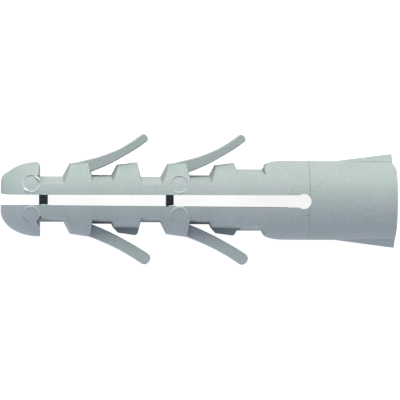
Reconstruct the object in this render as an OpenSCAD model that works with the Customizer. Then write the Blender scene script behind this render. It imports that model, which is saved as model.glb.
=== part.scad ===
// Split expansion plug for a drilled wall, moulded in one piece.
// The plug lies along X with its nose at -X and its mouth at the origin.
// The mould parts in the plane Z = 0, where the wings and the ribs lie.

/* [Plug] */
// Overall length from the nose to the mouth
plug_l = 40; // [38:0.5:50]
// Diameter of the drilled hole that the plug is made for
plug_d = 8; // [7.8:0.1:9]

/* [Nose] */
// Length of the nose up to the back of its barb
nose_l = 4; // [3.8:0.1:4.6]
// Length over which the nose curves in
nose_curve_l = 3.8; // [3:0.05:3.8]
// Radius of the flat tip of the nose
nose_tip_r = 1.2; // [0.9:0.05:1.8]
// Gap between the nose and the drilled hole
nose_relief = 0.22; // [0.1:0.02:0.4]

/* [Teeth] */
// Number of teeth along each leg
teeth = 4; // [2:1:4]
// Distance from one tooth to the next
tooth_pitch = 4.96; // [4.6:0.02:5.2]
// Length of the recess between the nose and the first tooth
first_recess_l = 2.24; // [1.8:0.1:2.8]
// Length of a tooth's ramp
ramp_l = 0.67; // [0.4:0.05:0.9]
// Lean of a ramp from the upright
ramp_lean = 27.5; // [15:0.5:40]
// Length of the flat crest of a tooth
crest_l = 1.88; // [1.4:0.05:2.2]
// Length of a tooth's back slope
tooth_back_l = 0.45; // [0.2:0.05:0.6]
// Lean of a tooth's back from the upright
back_lean = 15; // [5:1:25]
// Gap between the crest of a winged tooth and the drilled hole
winged_relief = 0.1; // [0.02:0.01:0.2]
// Gap between the crest of a plain tooth and the drilled hole
plain_relief = 0.22; // [0.1:0.02:0.4]
// Rise of a crest from its front to its back
crest_rise = 0.26; // [0.1:0.02:0.4]

/* [Recesses] */
// Height of a recess floor over the axis
floor_h = 2.3; // [2.1:0.05:2.6]
// Height of the floor under a wing over the axis
wing_floor_h = 2.48; // [2.2:0.05:2.8]
// Height of the floor beside the neck over the axis
neck_floor_h = 3.11; // [2.8:0.05:3.3]
// Height of a tooth that is cut down, over the axis
low_tooth_h = 2.95; // [2.7:0.05:3.2]
// Draft of a tooth that is cut down
low_tooth_draft = 8.5; // [6:0.5:10]
// Length of the recess beside the neck
neck_recess_l = 2.5; // [1.8:0.1:3]
// Step between the two mould halves on a floor
mould_step = 0.12; // [0:0.02:0.2]
// Draft of the floors on the steep side
steep_draft = 12.8; // [8:0.2:14]
// Draft of the floors on the shallow side
shallow_draft = 6; // [3:0.5:8]
// Draft of the ramps
ramp_draft = 8; // [3:0.5:10]
// Draft of the backs of the teeth and of the ramp at the shoulder
back_draft = 4; // [2:0.5:6]
// Draft of the floors beside the neck
neck_draft = 10; // [8:0.5:14]
// Lean of the last tooth's back from the upright
neck_lean = 28; // [15:1:32]
// Length by which the last tooth falls short
last_tooth_cut = 0.16; // [0.04:0.02:0.3]

/* [Wear of the lower leg] */
// Wear of the crests
worn_crest = 0.14; // [0.06:0.02:0.2]
// Wear of a plain tooth at the corner between its ramp and its crest
worn_front = 0.2; // [0.16:0.02:0.24]
// Lean of that worn corner from the upright
worn_lean = 45; // [42:1:48]
// Radius of a plain tooth's worn corner at the back
worn_r = 0.46; // [0.4:0.02:0.5]
// Distance from the foot of the tooth's back to that corner, along the leg
worn_back = 0.2; // [0.16:0.01:0.21]

/* [Wings] */
// Length of an upper wing along its chord
upper_wing_l = 6.4; // [5:0.1:7]
// Length of a lower wing along its chord
lower_wing_l = 6.6; // [5:0.1:7]
// Angle between a wing's chord and the axis
wing_angle = 26.8; // [18:0.2:32]
// Angle through which an upper wing curves
upper_bow = 22; // [5:1:30]
// Angle through which a lower wing curves
lower_bow = 14; // [5:1:30]
// Thickness of a wing at its root
wing_root_t = 1.3; // [1:0.02:1.4]
// Thickness of an upper wing at its waist
upper_waist_t = 0.88; // [0.8:0.02:1.2]
// Thickness of a lower wing at its waist
lower_waist_t = 1.16; // [0.8:0.02:1.3]
// Thickness of an upper wing at its tip
upper_tip_t = 0.9; // [0.8:0.02:1.2]
// Thickness of a lower wing at its tip
lower_tip_t = 1.2; // [0.8:0.02:1.3]
// Height of an upper wing's root over the crest of its tooth
upper_root_rise = 0.18; // [-0.1:0.02:0.2]
// Height of a lower wing's root over the crest of its tooth
lower_root_rise = -0.12; // [-0.2:0.02:0.2]
// Width of a wing across the parting plane
wing_w = 2.4; // [1.6:0.1:3]
// Draft of a wing's edges
wing_draft = 4; // [1:0.5:6]

/* [Collar] */
// Height of the ramp at the foot of the collar's shoulder
shoulder_ramp_h = 0.38; // [0.2:0.02:0.5]
// Lean of that ramp from the upright
shoulder_lean = 36; // [20:1:45]
// Length over which the shoulder rounds
shoulder_l = 2; // [1.2:0.05:2.6]
// Draft of the shoulder
shoulder_draft = 1; // [0:0.5:4]
// Squeeze of the collar in the drilled hole, on its radius
collar_squeeze = 0.02; // [0.01:0.01:0.1]
// Radius of the rounded upper corner of the mouth
rim_round = 1; // [0.6:0.1:1.2]
// Length of a rib beside the mouth
rib_l = 6; // [4:0.1:7]
// Distance from the mouth to the end of the upper rib
upper_rib_back = 0.28; // [0:0.02:0.4]
// Height of a rib at the mouth
rib_h = 0.78; // [0.4:0.02:1]
// Width of a rib at the mouth
rib_w = 1.6; // [1:0.1:2]

/* [Slot] */
// Width of the slot between the legs at the nose
slot_w = 1.04; // [0.8:0.02:1.3]
// Width of the slot at its root
slot_root_w = 1.24; // [1:0.02:1.4]
// Offset of the slot from the axis
slot_shift = 0.1; // [0:0.02:0.16]
// Diameter of the round end of the slot, at the front
slot_end_d = 1.5; // [1.3:0.02:1.8]
// Draft of the round end of the slot
slot_end_draft = 5; // [3:0.5:8]
// Distance from the neck recess to the round end of the slot
slot_reach = 4.05; // [3.4:0.05:4.6]

/* [Bore] */
// Diameter of the screw's bore in the collar
bore_d = 4.8; // [4.2:0.1:5.2]
// Diameter of the screw's channel between the legs
channel_d = 2.7; // [2.3:0.1:3]
// Length over which the bore narrows to the channel
funnel_l = 10.5; // [8:0.5:12]
// Length of solid nose past the channel
channel_stop_l = 1.6; // [1.2:0.1:2.4]
// Width of the chamfer round the mouth
mouth_chamfer = 0.2; // [0:0.05:0.3]

/* [Webs] */
// Length of a break-off web along the slot
web_l = 0.74; // [0.5:0.02:1.2]
// Distance from the nose to the first web
first_web_x = 4.36; // [4:0.05:5]
// Distance from the nose to the second web
second_web_x = 17.25; // [16:0.05:18]
// Gap between a web and the channel
web_gap = 0.15; // [0.05:0.05:0.3]
// Depth of a web under the surface of the legs
web_sink = 0.4; // [0.2:0.05:0.6]

/* [Ejector marks] */
// Diameter of an ejector pin's mark
mark_d = 1.64; // [1.2:0.02:1.8]
// Depth of a mark under the surface round it
mark_sink = 0.06; // [0.02:0.01:0.1]
// Distance of a mark from the axis
mark_y = 1.56; // [1.4:0.02:1.7]
// Distance from the nose to the first marks
first_mark_x = 3.06; // [2.8:0.02:3.2]
// Distance from the nose to the second marks
second_mark_x = 17.97; // [17.8:0.02:18.2]

/* [Hidden] */

$fn = 96;
overlap = 0.02;

// Width of the ledge between the two mould halves on a floor
ledge_w = 0.04;

plug_r = plug_d / 2;
nose_r = plug_r - nose_relief;
collar_r = plug_r + collar_squeeze;
bore_r = bore_d / 2;
channel_r = channel_d / 2;
clear_r = plug_r + 1;

// A winged tooth comes first, and then every second one
function winged(k) = k % 2 == 0;
function ramp_foot(k) = nose_l + first_recess_l + tooth_pitch * k;
function ramp_top(k) = ramp_foot(k) + ramp_l;
function crest_end(k) = ramp_top(k) + crest_l;
function tooth_end(k) = crest_end(k) + tooth_back_l;
function crest_end_r(k) = plug_r - (winged(k) ? winged_relief : plain_relief);

last_tooth_end = tooth_end(teeth - 1) - last_tooth_cut;
shoulder_x = last_tooth_end + neck_recess_l;
slot_end_x = shoulder_x + slot_reach;
funnel_x = slot_end_x - slot_end_d;

// Number of steps in the curves of the nose, the shoulder and a wing
nose_steps = 16;
shoulder_steps = 6;
wing_steps = 12;
tip_steps = 8;

// How far a round wing tip stands out, as a part of half its thickness
tip_bluntness = 0.8;
// Part of a wing's length that is buried in its tooth
wing_buried = 0.25;
// Place of a wing's waist along its length
wing_waist = 0.6;

// Solid through a stack of outlines with as many points each, from the lowest up.
// Caps list the faces that close an end, each of which is a fan round its first point.
module loft(heights, outlines, caps = undef) {
    count = len(outlines[0]);
    levels = len(heights);
    top = count * (levels - 1);
    ends = is_undef(caps) ? [[for (i = [0:count - 1]) i]] : caps;
    polyhedron(
        points = [
            for (j = [0:levels - 1])
                for (p = outlines[j]) [p.x, p.y, heights[j]]
        ],
        faces = [
            each ends,
            for (end = ends) [for (i = [1:len(end)]) top + end[len(end) - i]],
            for (j = [0:levels - 2])
                for (i = [0:count - 1])
                    let (a = count * j + i, b = count * j + (i + 1) % count)
                        each [[a, a + count, b + count], [a, b + count, b]]
        ]
    );
}

// Solid turned about the X axis from points that give a distance along it and a radius
module turned(profile) {
    rotate([0, 90, 0]) rotate_extrude() polygon([for (p = profile) [p.y, p.x]]);
}

// Places a shape at the front and again at the back, turned about the axis
module both_halves() {
    children();
    rotate([180, 0, 0]) children();
}

// Blunt nose: a flat tip and a quarter of an ellipse
function nose_profile() = [
    for (i = [0:nose_steps])
        let (t = 90 * i / nose_steps)
            [nose_curve_l * (1 - cos(t)), nose_tip_r + (nose_r - nose_tip_r) * sin(t)]
];

// Crests rise towards the mouth and fall back along each recess
function crest_profile() = [
    for (k = [0:teeth - 1])
        each [[ramp_top(k), crest_end_r(k) - crest_rise], [crest_end(k), crest_end_r(k)]]
];

// The round shape that the recesses are cut from, or a copy with its surface set in
module shank(inset = 0) {
    outline = [
        each nose_profile(),
        [nose_l + first_recess_l / 2, nose_r],
        each crest_profile(),
        [shoulder_x, collar_r],
        [plug_l, collar_r]
    ];
    turned([[0, 0], for (p = outline) [p.x, p.y - inset], [plug_l, 0]]);
}

// Outline of a recess at height z: a back wall, a floor and a ramp, each with its draft.
// A step sinks the floor and leaves the walls in their planes.
function recess_outline(z, back, foot, floor_y, step, draft, lean) =
    let (
        drop = step + z * tan(draft),
        y = floor_y - drop,
        x_back = back - z * tan(back_draft) + drop * tan(lean),
        x_foot = foot + z * tan(ramp_draft) - drop * tan(ramp_lean),
        rise = clear_r - y
    )
    [
        [x_back, y],
        [x_foot, y],
        [x_foot + rise * tan(ramp_lean), clear_r],
        [x_back - rise * tan(lean), clear_r]
    ];

// A recess falls steeply to the front and, past a ledge, gently to the back
module recess(back, foot, floor_y, lean = back_lean) {
    loft(
        [-clear_r, -ledge_w, 0, clear_r],
        [
            recess_outline(clear_r, back, foot, floor_y, mould_step, shallow_draft, lean),
            recess_outline(ledge_w, back, foot, floor_y, mould_step, shallow_draft, lean),
            recess_outline(0, back, foot, floor_y, 0, steep_draft, lean),
            recess_outline(clear_r, back, foot, floor_y, 0, steep_draft, lean)
        ]
    );
}

// Outline of the recess beside the neck. Its far wall is a ramp down to the floor and
// a quarter of an ellipse up to the collar, whose height doesn't change with z.
function neck_recess_outline(z) =
    let (
        drop = z * tan(neck_draft),
        y = neck_floor_h - drop,
        x_back = last_tooth_end - z * tan(back_draft) + drop * tan(neck_lean),
        x_foot = shoulder_x + z * tan(back_draft),
        x_top = shoulder_x + shoulder_ramp_h * tan(shoulder_lean) + z * tan(shoulder_draft),
        top_y = neck_floor_h + shoulder_ramp_h
    )
    [
        [x_back - (clear_r - y) * tan(neck_lean), clear_r],
        [x_back, y],
        [x_foot, y],
        for (i = [0:shoulder_steps])
            let (t = 90 * i / shoulder_steps)
                [x_top + shoulder_l * (1 - cos(t)), top_y + (collar_r - top_y) * sin(t)],
        [x_top + shoulder_l, clear_r]
    ];

module neck_recess() {
    side = neck_recess_outline(clear_r);
    loft([-clear_r, 0, clear_r], [side, neck_recess_outline(0), side]);
}

// A plain tooth is cut down to a low step on the gentle side
module low_tooth(k) {
    heights = [ledge_w / 2, clear_r];
    loft(
        heights,
        [
            for (z = heights)
                recess_outline(z, ramp_foot(k), tooth_end(k), low_tooth_h, 0, low_tooth_draft, back_lean)
        ]
    );
}

module leg_recesses() {
    recess(nose_l, ramp_foot(0), floor_h, 0);
    for (k = [1:teeth - 1])
        recess(tooth_end(k - 1), ramp_foot(k), winged(k) ? floor_h : wing_floor_h);
    neck_recess();
    for (k = [0:teeth - 1])
        if (!winged(k)) rotate([180, 0, 0]) mirror([0, 1, 0]) low_tooth(k);
}

// All that lies past an arc in one quarter, which rounds a corner at its place
module rounding(x, y, r) {
    translate([x - r, y - r, -clear_r]) linear_extrude(2 * clear_r) difference() {
        square(2 * r);
        circle(r);
    }
}

// All that lies over a slanted line, which has a point at its middle
module slant(x, y, lean, length) {
    translate([x, y, -clear_r]) rotate([0, 0, lean]) translate([-length / 2, 0, 0])
        cube([length, plug_r / 2, 2 * clear_r]);
}

// The teeth of the lower leg are worn along their crests, and the plain ones
// also in front and round the back
module worn_teeth() {
    mirror([0, 1, 0])
        for (k = [0:teeth - 1]) {
            front_r = crest_end_r(k) - crest_rise;
            back_r = crest_end_r(k) - worn_crest;
            crest_lean = atan(crest_rise / crest_l);
            slant(ramp_top(k), front_r - worn_crest, crest_lean, 2 * crest_l + tooth_back_l);
            if (!winged(k)) {
                slant(ramp_top(k), front_r - worn_front, 90 - worn_lean, 3 * ramp_l);
                rounding(tooth_end(k) - worn_back, back_r - overlap, worn_r);
            }
        }
}

// Outline of a wing: a strip along an arc, with a waist and a round tip
function wing_point(u, length, bow) =
    let (
        start = wing_angle - bow / 2,
        arc_r = length / (2 * sin(bow / 2)),
        heading = start + bow * u
    )
    arc_r * [sin(heading) - sin(start), cos(start) - cos(heading)];
function wing_normal(u, bow) =
    let (heading = wing_angle + bow * (u - 0.5)) [-sin(heading), cos(heading)];
function wing_half_t(u, waist_t, tip_t) =
    lookup(u, [[0, wing_root_t], [wing_waist, waist_t], [1, tip_t]]) / 2;
function wing_side(u, side, length, bow, waist_t, tip_t, inset) =
    wing_point(u, length, bow)
        + side * (wing_half_t(u, waist_t, tip_t) - inset) * wing_normal(u, bow);
function wing_outline(length, bow, waist_t, tip_t, inset) =
    let (
        steps = [for (i = [0:wing_steps]) (1 + wing_buried) * i / wing_steps - wing_buried],
        tip = wing_point(1, length, bow),
        across = wing_normal(1, bow),
        along = [across.y, -across.x],
        tip_r = tip_t / 2 - inset
    )
    [
        for (u = steps) wing_side(u, -1, length, bow, waist_t, tip_t, inset),
        for (i = [1:tip_steps - 1])
            let (t = 180 * i / tip_steps - 90)
                tip + tip_r * (sin(t) * across + tip_bluntness * cos(t) * along),
        for (i = [0:wing_steps])
            wing_side(steps[wing_steps - i], 1, length, bow, waist_t, tip_t, inset)
    ];

// The sides of a wing are closed by a row of four-sided faces and a round tip
function wing_caps() =
    let (last = 2 * wing_steps + tip_steps)
    [
        for (i = [0:wing_steps - 1]) [i, i + 1, last - 1 - i, last - i],
        [for (i = [wing_steps:wing_steps + tip_steps]) i]
    ];

module wing(length, bow, waist_t, tip_t) {
    half_w = wing_w / 2;
    edge = wing_outline(length, bow, waist_t, tip_t, half_w * tan(wing_draft));
    middle = wing_outline(length, bow, waist_t, tip_t, 0);
    loft([-half_w, 0, half_w], [edge, middle, edge], wing_caps());
}

// A wing grows out of the back of each winged tooth
module wings() {
    for (k = [0:teeth - 1])
        if (winged(k)) {
            root_y = crest_end_r(k) - wing_root_t / 2 / cos(wing_angle);
            translate([crest_end(k), root_y + upper_root_rise, 0])
                wing(upper_wing_l, upper_bow, upper_waist_t, upper_tip_t);
            mirror([0, 1, 0]) translate([crest_end(k), root_y + lower_root_rise, 0])
                wing(lower_wing_l, lower_bow, lower_waist_t, lower_tip_t);
        }
}

// The upper corner of the mouth is rounded
module worn_rim() {
    rounding(plug_l, collar_r, rim_round);
}

// A rib rises along the collar towards the mouth and keeps the plug from turning
module rib(back) {
    length = rib_l - back;
    rise = rib_h * length / rib_l;
    half_w = rib_w / 2 * length / rib_l;
    root_y = collar_r - rib_h / 2;
    spread = half_w * (rise + rib_h / 2) / rise;
    translate([plug_l - rib_l, 0, 0])
        polyhedron(
            points = [
                [0, collar_r, 0],
                [0, root_y, 0],
                [length, root_y, -spread],
                [length, root_y, spread],
                [length, collar_r + rise, 0]
            ],
            faces = [[0, 4, 3], [0, 2, 4], [0, 3, 1], [0, 1, 2], [1, 3, 2], [2, 3, 4]]
        );
}

// The slot opens at the nose and widens a little towards its root
module slot() {
    translate([0, -slot_shift, -clear_r]) {
        linear_extrude(2 * clear_r) polygon([
            [-clear_r, -slot_w / 2],
            [slot_end_x, -slot_root_w / 2],
            [slot_end_x, slot_root_w / 2],
            [-clear_r, slot_w / 2]
        ]);
        slot_end();
    }
}

// A round hole ends the slot, with draft towards the front
module slot_end() {
    end_r = slot_end_d / 2;
    back_r = end_r + (clear_r + collar_r) * tan(slot_end_draft);
    front_r = end_r - (clear_r - collar_r) * tan(slot_end_draft);
    translate([slot_end_x, 0, 0]) cylinder(h = 2 * clear_r, r1 = back_r, r2 = front_r);
}

// Chamfered straight bore in the collar, then a funnel down to the channel between the legs
module screw_way() {
    turned([
        [channel_stop_l, 0],
        [channel_stop_l + channel_r, channel_r],
        [funnel_x - funnel_l, channel_r],
        [funnel_x, bore_r],
        [plug_l - mouth_chamfer, bore_r],
        [plug_l + plug_r, bore_r + mouth_chamfer + plug_r],
        [plug_l + plug_r, 0]
    ]);
}

// Thin webs hold the legs apart until the screw breaks them
module web(x) {
    low = nose_r - web_sink;
    high = channel_r + web_gap;
    reach = slot_root_w / 2 + overlap;
    translate([x - web_l / 2, -slot_shift - reach, -low]) cube([web_l, 2 * reach, low - high]);
}

// A pair of ejector pins leaves round marks, each sunk evenly under the round surface
module mark_cuts(x) {
    difference() {
        for (side = [-1, 1])
            translate([x, side * mark_y, 0]) cylinder(h = clear_r, d = mark_d);
        shank(mark_sink);
    }
}

module plug() {
    color([0.68, 0.74, 0.74])
        translate([-plug_l, 0, 0]) {
            difference() {
                union() {
                    difference() {
                        shank();
                        both_halves() leg_recesses();
                        worn_teeth();
                        worn_rim();
                    }
                    wings();
                    rib(upper_rib_back);
                    mirror([0, 1, 0]) rib(0);
                }
                slot();
                screw_way();
                mark_cuts(first_mark_x);
                mark_cuts(second_mark_x);
            }
            web(first_web_x);
            web(second_web_x);
        }
}

plug();
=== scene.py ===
import math

import bmesh
import bpy
import numpy as np
from mathutils import Matrix, Vector


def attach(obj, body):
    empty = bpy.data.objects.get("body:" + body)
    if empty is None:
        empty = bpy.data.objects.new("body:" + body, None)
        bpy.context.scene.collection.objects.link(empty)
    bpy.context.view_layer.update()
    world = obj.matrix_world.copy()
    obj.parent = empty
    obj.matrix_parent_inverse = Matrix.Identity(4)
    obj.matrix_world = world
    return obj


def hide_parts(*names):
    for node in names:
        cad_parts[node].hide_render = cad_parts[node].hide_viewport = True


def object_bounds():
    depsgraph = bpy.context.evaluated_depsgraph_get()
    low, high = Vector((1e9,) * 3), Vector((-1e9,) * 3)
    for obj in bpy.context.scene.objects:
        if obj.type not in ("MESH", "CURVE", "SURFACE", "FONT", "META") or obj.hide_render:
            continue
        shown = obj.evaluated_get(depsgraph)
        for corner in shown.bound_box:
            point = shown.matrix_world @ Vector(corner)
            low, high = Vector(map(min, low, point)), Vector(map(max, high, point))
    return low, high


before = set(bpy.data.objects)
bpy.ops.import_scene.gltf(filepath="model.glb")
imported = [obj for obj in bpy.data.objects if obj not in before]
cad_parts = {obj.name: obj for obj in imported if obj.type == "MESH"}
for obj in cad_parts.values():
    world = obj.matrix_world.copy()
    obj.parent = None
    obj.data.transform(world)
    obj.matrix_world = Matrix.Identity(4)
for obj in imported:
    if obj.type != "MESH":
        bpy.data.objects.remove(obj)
cad_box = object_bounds()

# The whole plug is one shot of grey nylon. Its skin is matte with a very
# fine spark-eroded grain, a little cloudy where the melt cooled unevenly, and
# every edge is softened by the tumbling that such small mouldings go through.
MM = 0.001
NYLON = (0.43, 0.49, 0.50)
CLOUD_SCALE, CLOUD_DETAIL = 420.0, 2.0
CLOUD_STOPS = (
    (0.3, (0.95, 0.99, 0.955)),
    (0.5, (1.0, 1.0, 1.0)),
    (0.7, (1.05, 1.0, 1.04)),
)
GRAIN_SCALE, GRAIN_DETAIL = 6500.0, 3.0
GRAIN_STRENGTH, GRAIN_H = 0.3, 0.012 * MM
SHINE = 0.3
EDGE_R, EDGE_SAMPLES = 0.07 * MM, 8
SEAM_X, FOOT_Y, FOOT_X = -8.87 * MM, 3.97 * MM, -6.3 * MM
# Each ramp has the two values that it runs between, and what it gives at both
SPECKLE = (0.3, 0.7, 0.9, 1.1)
ROUGHNESS = (0.0, 1.0, 0.5, 0.66)
SEAM_LINE = (0.02 * MM, 0.08 * MM, 0.68, 1.0)
SEAM_FADE = (-3.2 * MM, 1.5 * MM, 0.7, 0.0)
# The foot of each rib gets a thin line of painted shade, where the rib meets the collar
FOOT_SHADE = (0.02 * MM, 0.09 * MM, 0.22, 0.0)
FOOT_FADE = (FOOT_X, 0.5 * FOOT_X, 0.0, 1.0)
# Each dark speck has its place and radius, in millimetres
SPECKS = (
    (-8.54, 0.97, 3.90, 0.08),
    (-9.09, -1.50, 3.72, 0.09),
    (-3.96, 3.85, 1.16, 0.08),
)
SPECK_IN, SPECK_OUT, SPECK_SHADE = 0.5, 1.4, 0.6


def nylon_skin(name, colour, marked):
    """Grey nylon: the colour drifts by a few hundredths along a broad noise and
    speckles along a fine one, which also lifts and roughens the surface. On the
    body, the seam is a thin dark line in one plane, the foot of a rib a line of
    painted shade at one distance from the middle, and each speck a dot."""
    mat = bpy.data.materials.new(name)
    mat.use_nodes = True
    nodes, links = mat.node_tree.nodes, mat.node_tree.links
    place = nodes.new("ShaderNodeTexCoord").outputs["Object"]

    def noise(scale, detail):
        """A noise over the place on the plug."""
        node = nodes.new("ShaderNodeTexNoise")
        node.inputs["Scale"].default_value = scale
        node.inputs["Detail"].default_value = detail
        links.new(place, node.inputs["Vector"])
        return node.outputs["Fac"]

    def maths(operation, *values):
        """An operation on values that are numbers or the outputs of nodes."""
        node = nodes.new("ShaderNodeMath")
        node.operation = operation
        for socket, value in zip(node.inputs, values):
            if isinstance(value, float):
                socket.default_value = value
            else:
                links.new(value, socket)
        return node.outputs[0]

    def ramp(value, start, end, at_start, at_end):
        """A straight run between two results, held at its ends."""
        node = nodes.new("ShaderNodeMapRange")
        node.inputs["From Min"].default_value = start
        node.inputs["From Max"].default_value = end
        node.inputs["To Min"].default_value = at_start
        node.inputs["To Max"].default_value = at_end
        links.new(value, node.inputs["Value"])
        return node.outputs["Result"]

    cloud = noise(CLOUD_SCALE, CLOUD_DETAIL)
    tint = nodes.new("ShaderNodeValToRGB")
    tint.color_ramp.elements.new(CLOUD_STOPS[1][0])
    for stop, (at, gain) in zip(tint.color_ramp.elements, CLOUD_STOPS):
        stop.position = at
        stop.color = (*(g * c for g, c in zip(gain, colour)), 1.0)
    links.new(cloud, tint.inputs["Fac"])
    grain = noise(GRAIN_SCALE, GRAIN_DETAIL)
    shade = ramp(grain, *SPECKLE)

    if marked:
        axes = nodes.new("ShaderNodeSeparateXYZ")
        links.new(place, axes.inputs[0])
        along, across = axes.outputs["X"], axes.outputs["Y"]

        from_seam = maths("ABSOLUTE", maths("SUBTRACT", along, SEAM_X))
        seam = nodes.new("ShaderNodeMix")
        links.new(ramp(from_seam, *SEAM_LINE), seam.inputs["A"])
        seam.inputs["B"].default_value = 1.0
        links.new(ramp(across, *SEAM_FADE), seam.inputs["Factor"])
        shade = maths("MULTIPLY", shade, seam.outputs["Result"])

        # Painted shade in the corner where each rib stands on the collar
        from_foot = maths("SUBTRACT", maths("ABSOLUTE", across), FOOT_Y)
        foot = ramp(maths("ABSOLUTE", from_foot), *FOOT_SHADE)
        foot_shade = maths("MULTIPLY", foot, ramp(along, *FOOT_FADE))
        shade = maths("MULTIPLY", shade, maths("SUBTRACT", 1.0, foot_shade))

        for x, y, z, r in SPECKS:
            reach = nodes.new("ShaderNodeVectorMath")
            reach.operation = "DISTANCE"
            reach.inputs[1].default_value = (x * MM, y * MM, z * MM)
            links.new(place, reach.inputs[0])
            within, beyond = SPECK_IN * r * MM, SPECK_OUT * r * MM
            dot = ramp(reach.outputs["Value"], within, beyond, SPECK_SHADE, 1.0)
            shade = maths("MULTIPLY", shade, dot)

    paint = nodes.new("ShaderNodeVectorMath")
    paint.operation = "SCALE"
    links.new(tint.outputs["Color"], paint.inputs[0])
    links.new(shade, paint.inputs["Scale"])
    edge = nodes.new("ShaderNodeBevel")
    edge.samples = EDGE_SAMPLES
    edge.inputs["Radius"].default_value = EDGE_R
    bump = nodes.new("ShaderNodeBump")
    bump.inputs["Strength"].default_value = GRAIN_STRENGTH
    bump.inputs["Distance"].default_value = GRAIN_H
    links.new(grain, bump.inputs["Height"])
    links.new(edge.outputs["Normal"], bump.inputs["Normal"])
    shader = nodes["Principled BSDF"]
    shader.inputs["Specular IOR Level"].default_value = SHINE
    links.new(paint.outputs[0], shader.inputs["Base Color"])
    links.new(ramp(grain, *ROUGHNESS), shader.inputs["Roughness"])
    links.new(bump.outputs["Normal"], shader.inputs["Normal"])
    return mat


# The node's triangles are joined into one skin. It is set right by a few tenths
# of a millimetre at most where the real one is blunted, stretched or bent, and
# the barb is chipped beside each ejector mark. Only the real edges stay sharp.
PLUG_L = 40.0
JOIN, FLAT, SHARP = 0.001 * MM, math.radians(0.5), math.radians(24.0)
TIP_L, TIP_Y, TIP_FULL = 0.9, 0.3, 0.28
WEB_X, WEB_Y, WEB_HALF_L, WEB_HALF_W, WEB_GROW = 4.36, -0.1, 0.38, 0.65, 0.07
RAMP_START, RAMP_END, RAMP_Y, RAMP_SHIFT = 6.0, 7.1, -1.8, 0.13
CREST_FIRST, CREST_THIRD = 8.79, 18.71
# The back of a lower tooth has its crest's end, its foot and how far it leans
BACKS = ((CREST_FIRST, 1.7, 0.145), (CREST_THIRD, 2.3, 0.1))
BACK_START, BACK_END, BACK_Z, BACK_CORNER, WING_Z = 0.01, 0.45, 1.25, 0.4, 1.2
# Each cut in the barb has its lowest height and its corners
CHIP_TOP = 4.3
CHIPS = (
    (-4.3, (
        (3.55, 3.83), (3.72, 3.76), (3.86, 3.63), (3.95, 3.43),
        (3.98, 3.2), (4.06, 3.2), (4.06, 4.0), (3.55, 4.0),
    )),
    (2.2, ((3.63, 2.29), (4.06, 2.13), (4.06, 2.68))),
    (2.0, (
        (3.44, -2.16), (3.76, -2.74), (3.93, -3.15),
        (4.06, -3.35), (4.06, -1.68), (3.85, -1.74),
    )),
)
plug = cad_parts["plug"]
skin = bmesh.new()
skin.from_mesh(plug.data)
bmesh.ops.remove_doubles(skin, verts=skin.verts, dist=JOIN)
for point in skin.verts:
    x, y, z = point.co.x / MM + PLUG_L, point.co.y / MM, point.co.z / MM
    if x < TIP_L and y > TIP_Y:
        y *= 1.0 + TIP_FULL * (1.0 - x / TIP_L) ** 2
    if abs(x - WEB_X) < WEB_HALF_L and abs(y - WEB_Y) < WEB_HALF_W:
        x += math.copysign(WEB_GROW, x - WEB_X)
    if RAMP_START < x < RAMP_END and y < RAMP_Y:
        x += RAMP_SHIFT
    for crest, foot, lean in BACKS:
        if crest + BACK_START < x < crest + BACK_END and y < -foot and z > BACK_Z:
            x += min(lean * (-y - foot), BACK_CORNER * (z - WING_Z))
    point.co.x, point.co.y = (x - PLUG_L) * MM, y * MM
body_mesh = bpy.data.meshes.new("plug_body")
skin.to_mesh(body_mesh)
skin.free()
body = bpy.data.objects.new("plug_body", body_mesh)
bpy.context.scene.collection.objects.link(body)
for low, corners in CHIPS:
    count = len(corners)
    points = [((x - PLUG_L) * MM, y * MM, z * MM) for z in (low, CHIP_TOP) for x, y in corners]
    ends = [tuple(reversed(range(count))), tuple(range(count, 2 * count))]
    following = [(i + 1) % count for i in range(count)]
    sides = [(i, j, count + j, count + i) for i, j in enumerate(following)]
    chip_mesh = bpy.data.meshes.new("chip")
    chip_mesh.from_pydata(points, [], ends + sides)
    chip = bpy.data.objects.new("chip", chip_mesh)
    bpy.context.scene.collection.objects.link(chip)
    cut = body.modifiers.new("chip", "BOOLEAN")
    cut.operation = "DIFFERENCE"
    cut.solver = "EXACT"
    cut.object = chip
    chipped = body.evaluated_get(bpy.context.evaluated_depsgraph_get())
    body_mesh = bpy.data.meshes.new_from_object(chipped)
    body.modifiers.clear()
    body.data = body_mesh
    bpy.data.objects.remove(chip)
skin = bmesh.new()
skin.from_mesh(body_mesh)
bmesh.ops.remove_doubles(skin, verts=skin.verts, dist=JOIN)
bmesh.ops.dissolve_limit(skin, angle_limit=FLAT, verts=skin.verts, edges=skin.edges)
for face in skin.faces:
    face.smooth = True
for line in skin.edges:
    line.smooth = line.is_manifold and line.calc_face_angle() < SHARP
skin.to_mesh(body_mesh)
skin.free()
body_mesh.materials.clear()
body_mesh.materials.append(nylon_skin("grey_nylon_skin", NYLON, True))
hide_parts("plug")
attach(body, "root")

# A thin lip of flash stands round each ejector mark, where the melt crept into
# the gap round the pin, and is higher on some sides. Finer flash and torn bits
# lie on nearby edges. All of it is the plug's nylon, but its paler colour is a
# painted highlight where these thin edges catch the light, and the torn bits
# carry a stronger painted highlight.
FLASH_HIGHLIGHT = nylon_skin("flash_painted_highlight", tuple(1.35 * c for c in NYLON), False)
TORN_HIGHLIGHT = nylon_skin("torn_flash_painted_highlight", tuple(1.75 * c for c in NYLON), False)
NOSE_L, TIP_R, NOSE_RISE = 3.8, 1.2, 2.58
CREST_R, CREST_L, CREST_RISE, CREST_FALL = 3.9, 1.88, 0.138, 0.125
NOSE_TO_FIRST, FIRST_TO_THIRD = 6.0, 12.0
NOSE_X, TOOTH_X, MARK_Y, MARK_R, MARK_SINK = 3.06, 17.97, 1.56, 0.82, 0.06
LIP_W, LIP_SPREAD, LIP_STEPS = 0.03, 0.7, 145
RIDGE_ACROSS, RIDGE_BURIED, RIDGE_STEPS = 13, 0.02, 41
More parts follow.
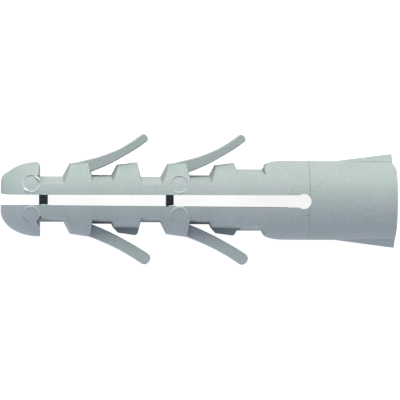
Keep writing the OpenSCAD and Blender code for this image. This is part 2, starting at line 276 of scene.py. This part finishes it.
# Each lobe of a lip has a middle and a half width in degrees, and a height
LIPS = (
    ("flash_nose_upper", NOSE_X, MARK_Y, ((205.0, 75.0, 0.13), (300.0, 75.0, 0.10))),
    ("flash_nose_lower", NOSE_X, -MARK_Y, ((80.0, 140.0, 0.10),)),
    ("flash_tooth_upper", TOOTH_X, MARK_Y, ((280.0, 65.0, 0.10),)),
    ("flash_tooth_lower", TOOTH_X, -MARK_Y, ((95.0, 125.0, 0.15),)),
)
# Each ridge has its path, its greatest half width and its greatest height
RIDGES = (
    ("torn_chunk", ((2.25, 1.16), (2.42, 0.99), (2.62, 0.88), (2.92, 0.80)), 0.15, 0.20, TORN_HIGHLIGHT),
    ("curl", ((3.40, 2.27), (3.60, 2.18), (3.80, 2.02), (3.97, 1.82)), 0.12, 0.22, TORN_HIGHLIGHT),
    ("flake", ((3.38, 2.30), (3.50, 2.38), (3.62, 2.50)), 0.10, 0.12, FLASH_HIGHLIGHT),
    (
        "chip_edge",
        ((3.84, -1.74), (3.43, -2.16), (3.76, -2.75), (3.92, -3.15)),
        0.07, 0.06, FLASH_HIGHLIGHT,
    ),
    # The burrs are low ridges whose pale colour is a painted highlight along these edges
    ("burr_first_upper", ((3.97, 0.49), (4.75, 0.49)), 0.06, 0.03, FLASH_HIGHLIGHT),
    ("burr_first_lower", ((3.85, -0.59), (4.87, -0.59)), 0.07, 0.03, FLASH_HIGHLIGHT),
    ("burr_second", ((16.86, -0.63), (17.64, -0.63)), 0.07, 0.03, FLASH_HIGHLIGHT),
    ("burr_first_tooth", ((9.12, -1.85), (9.07, -2.6), (9.05, -3.25)), 0.06, 0.06, FLASH_HIGHLIGHT),
    (
        "burr_third_tooth",
        ((19.05, -1.75), (18.92, -2.3), (18.86, -2.83), (18.84, -3.2)),
        0.06, 0.07, FLASH_HIGHLIGHT,
    ),
)


def skin_z(x, y):
    """Height of the front of a leg, in millimetres, over a point that is x from
    the nose's tip: the nose is a quarter of an ellipse turned about the axis,
    and the first and the third tooth are cones up to their crests, and fall a
    little behind them."""
    t = np.arccos(1.0 - np.minimum(x, NOSE_L) / NOSE_L)
    nose = TIP_R + NOSE_RISE * np.sin(t)
    past = x - np.where(x < FIRST_TO_THIRD, CREST_FIRST, CREST_THIRD)
    rising = CREST_RISE * np.maximum(past, -CREST_L)
    tooth = CREST_R + np.where(past < 0.0, rising, -CREST_FALL * past)
    return np.sqrt(np.where(x < NOSE_TO_FIRST, nose, tooth) ** 2 - y ** 2)


def ridge(name, path, half_w, height, drop, finish):
    """A ridge along a path on the skin. Across it, the height is a fourth power
    hump over the skin, which falls by the drop to the left of the path, and both
    its edges are buried by a fiftieth of a millimetre."""
    count = len(path)
    ahead = np.gradient(path, axis=0)
    ahead /= np.linalg.norm(ahead, axis=1)[:, None]
    left = np.stack([-ahead[:, 1], ahead[:, 0]], axis=1)
    u = np.linspace(-1.0, 1.0, RIDGE_ACROSS)
    xy = path[:, None] + left[:, None] * (half_w[:, None] * u)[..., None]
    step = np.clip(0.5 + 1.2 * u, 0.0, 1.0)
    lift = height[:, None] * (1.0 - u ** 2) ** 2 - drop * step - RIDGE_BURIED * u ** 4
    z = skin_z(xy[..., 0], xy[..., 1]) + lift
    points = np.stack([xy[..., 0] - PLUG_L, xy[..., 1], z], axis=2).reshape(-1, 3) * MM
    i, j = np.meshgrid(np.arange(count - 1), np.arange(RIDGE_ACROSS - 1), indexing="ij")
    a = (RIDGE_ACROSS * i + j).ravel()
    faces = np.stack([a, a + RIDGE_ACROSS, a + RIDGE_ACROSS + 1, a + 1], axis=1)
    mesh = bpy.data.meshes.new(name)
    mesh.from_pydata(points.tolist(), [], faces.tolist())
    mesh.polygons.foreach_set("use_smooth", np.ones(len(mesh.polygons), dtype=bool))
    mesh.materials.append(finish)
    piece = bpy.data.objects.new(name, mesh)
    bpy.context.scene.collection.objects.link(piece)
    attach(piece, "root")


for name, x, y, lobes in LIPS:
    turn = np.linspace(0.0, 2.0 * math.pi, LIP_STEPS)
    height = np.zeros(turn.shape)
    for middle, width, top in lobes:
        off = (np.degrees(turn) - middle + 180.0) % 360.0 - 180.0
        height += top * np.cos(np.clip(off / width, -1.0, 1.0) * math.pi / 2.0) ** 2
    lip = np.stack([x + MARK_R * np.cos(turn), y + MARK_R * np.sin(turn)], axis=1)
    ridge(name, lip, LIP_W + LIP_SPREAD * height, height, MARK_SINK, FLASH_HIGHLIGHT)

for name, knots, width, top, finish in RIDGES:
    knots = np.array(knots)
    last = len(knots) - 1.0
    s = np.linspace(0.0, last, RIDGE_STEPS)
    path = np.stack([np.interp(s, np.arange(len(knots)), knots[:, k]) for k in (0, 1)], axis=1)
    swell = np.sin(math.pi * np.clip(s / last, 0.02, 0.98)) ** 0.5
    ridge(name, path, width * swell, top * swell, 0.0, finish)

# A long lens far above the plug, a few degrees over towards its nose, so that
# the slopes that face the nose show a little more than the others.
SENSOR_W, VIEW_HALF_W, CAMERA_FAR = 36.0, 20.31, 406.6
target = Vector((-19.78, -0.02, 0.0)) * MM
yaw, pitch, roll = math.radians(3.0), math.radians(0.2), math.radians(-0.3)
away = Vector((-math.sin(yaw), math.sin(pitch), math.cos(yaw) * math.cos(pitch)))
lens = bpy.data.cameras.new("camera")
lens.sensor_width = SENSOR_W
lens.lens = 0.5 * SENSOR_W * CAMERA_FAR / VIEW_HALF_W
lens.clip_start, lens.clip_end = 0.01, 5.0
camera = bpy.data.objects.new("camera", lens)
camera.location = target + away * CAMERA_FAR * MM
up = Vector((math.sin(roll), math.cos(roll), 0.0))
back = away.normalized()
right = up.cross(back).normalized()
up = back.cross(right)
turned = Matrix((right, up, back)).transposed().to_4x4()
camera.matrix_world = Matrix.Translation(camera.location) @ turned
bpy.context.scene.collection.objects.link(camera)
bpy.context.scene.camera = camera

# A plain sheet under the plug, which the camera sees as white. It carries the
# plug's soft shadow.
SHEET_HALF, SHEET_GAP = 1.2, 0.02 * MM
SHEET_GREY, SHEET_GLOW = 0.4, 0.89
sheet_z = cad_box[0].z - SHEET_GAP
floor_mesh = bpy.data.meshes.new("floor")
sheet_corners = [(i * SHEET_HALF, j * SHEET_HALF) for i, j in ((-1, -1), (1, -1), (1, 1), (-1, 1))]
floor_mesh.from_pydata([(x, y, sheet_z) for x, y in sheet_corners], [], [(0, 1, 2, 3)])
floor = bpy.data.objects.new("floor", floor_mesh)
bpy.context.scene.collection.objects.link(floor)
sheet = bpy.data.materials.new("white_sheet")
sheet.use_nodes = True
nodes, links = sheet.node_tree.nodes, sheet.node_tree.links
nodes.remove(nodes["Principled BSDF"])
paper = nodes.new("ShaderNodeBsdfDiffuse")
paper.inputs["Color"].default_value = (SHEET_GREY, SHEET_GREY, SHEET_GREY, 1.0)
glow = nodes.new("ShaderNodeEmission")
glow.inputs["Color"].default_value = (1.0, 1.0, 1.0, 1.0)
rays = nodes.new("ShaderNodeLightPath")
seen = nodes.new("ShaderNodeMath")
seen.operation = "MAXIMUM"
seen_too = nodes.new("ShaderNodeMath")
seen_too.operation = "MAXIMUM"
level = nodes.new("ShaderNodeMath")
level.operation = "MULTIPLY"
level.inputs[1].default_value = SHEET_GLOW
both = nodes.new("ShaderNodeAddShader")
links.new(rays.outputs["Is Camera Ray"], seen.inputs[0])
links.new(rays.outputs["Is Glossy Ray"], seen.inputs[1])
links.new(seen.outputs[0], seen_too.inputs[0])
links.new(rays.outputs["Is Transmission Ray"], seen_too.inputs[1])
links.new(seen_too.outputs[0], level.inputs[0])
links.new(level.outputs[0], glow.inputs["Strength"])
links.new(paper.outputs[0], both.inputs[0])
links.new(glow.outputs[0], both.inputs[1])
links.new(both.outputs[0], nodes["Material Output"].inputs["Surface"])
floor_mesh.materials.append(sheet)

# A very large soft box stands over the upper wings, two weaker and bluer ones
# low down on the side of the lower wings, and the pale room fills the rest.
ROOM_COLOUR, ROOM_LIGHT = (0.93, 0.96, 1.11, 1.0), 0.37
LAMP_FAR = 0.7
# Each lamp has its lean from upright and its turn, in degrees, its colour, its
# power in watts and its width in metres
LAMPS = (
    ("soft_box", 59.0, 90.0, (1.03, 1.05, 0.90), 5.1, 0.65),
    ("left_box", 82.0, 225.0, (0.96, 1.0, 1.08), 2.1, 0.4),
    ("right_box", 82.0, 315.0, (0.97, 0.98, 1.07), 0.7, 0.4),
)
room = bpy.data.worlds.new("room")
room.use_nodes = True
sky = room.node_tree.nodes["Background"]
sky.inputs["Color"].default_value = ROOM_COLOUR
sky.inputs["Strength"].default_value = ROOM_LIGHT
bpy.context.scene.world = room
for name, lean, turn, colour, energy, size in LAMPS:
    box = bpy.data.lights.new(name, "AREA")
    box.size = size
    box.energy = energy
    box.color = colour
    lamp = bpy.data.objects.new(name, box)
    lean, turn = math.radians(lean), math.radians(turn)
    flat = math.sin(lean)
    aim = Vector((flat * math.cos(turn), flat * math.sin(turn), math.cos(lean)))
    lamp.location = target + aim * LAMP_FAR
    lamp.rotation_mode = "QUATERNION"
    lamp.rotation_quaternion = aim.to_track_quat("Z", "Y")
    bpy.context.scene.collection.objects.link(lamp)

bpy.context.scene.view_settings.view_transform = "Standard"
